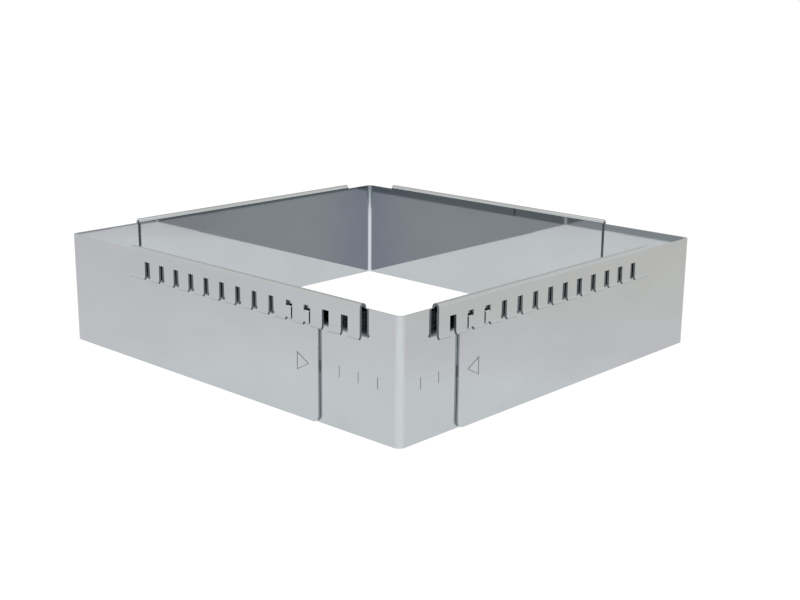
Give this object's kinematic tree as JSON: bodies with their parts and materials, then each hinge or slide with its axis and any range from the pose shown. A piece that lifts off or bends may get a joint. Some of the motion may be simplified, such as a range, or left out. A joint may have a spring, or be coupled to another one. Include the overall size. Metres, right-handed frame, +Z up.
{
  "type": "adjustable cake frame",
  "caption": "Square steel cake frame of interlocking L-shaped corner sheets; folded slotted edges and tabs let each side lengthen in steps.",
  "frame": {"origin": "middle of the frame on the surface that it stands on", "axes": "+Z up, X along the front-right wall from the front corner to the right corner, Y along the front-left wall from the front corner to the left corner"},
  "size_m": [0.2004, 0.2104, 0.052],
  "materials": {
    "stainless_sheet": "bright annealed, almost mirror-like stainless sheet"
  },
  "bodies": {
    "front_corner": {"front_corner_sheet": "stainless_sheet"},
    "left_corner": {"left_corner_sheet": "stainless_sheet", "left_corner_front_tabs": "stainless_sheet", "left_corner_back_tabs": "stainless_sheet"},
    "right_corner": {"right_corner_sheet": "stainless_sheet", "right_corner_front_tabs": "stainless_sheet", "right_corner_back_tabs": "stainless_sheet"},
    "back_corner": {"back_corner_sheet": "stainless_sheet"}
  },
  "joints": [
    {"name": "left_slide", "type": "slide", "parent": "front_corner", "child": "left_corner", "axis": [0, 1, 0], "range_m": [-0.02, 0.09], "deforming": ["left_corner_front_tabs", "right_corner_back_tabs"]},
    {"name": "right_slide", "type": "slide", "parent": "front_corner", "child": "right_corner", "axis": [1, 0, 0], "range_m": [-0.01, 0.1], "deforming": ["right_corner_front_tabs"]},
    {"name": "back_slide", "type": "slide", "parent": "left_corner", "child": "back_corner", "axis": [1, 0, 0], "range_m": [-0.01, 0.1], "deforming": ["left_corner_back_tabs"]}
  ],
  "couplings": [
    {"joint": "back_slide", "follows": "right_slide", "ratio": 1}
  ]
}
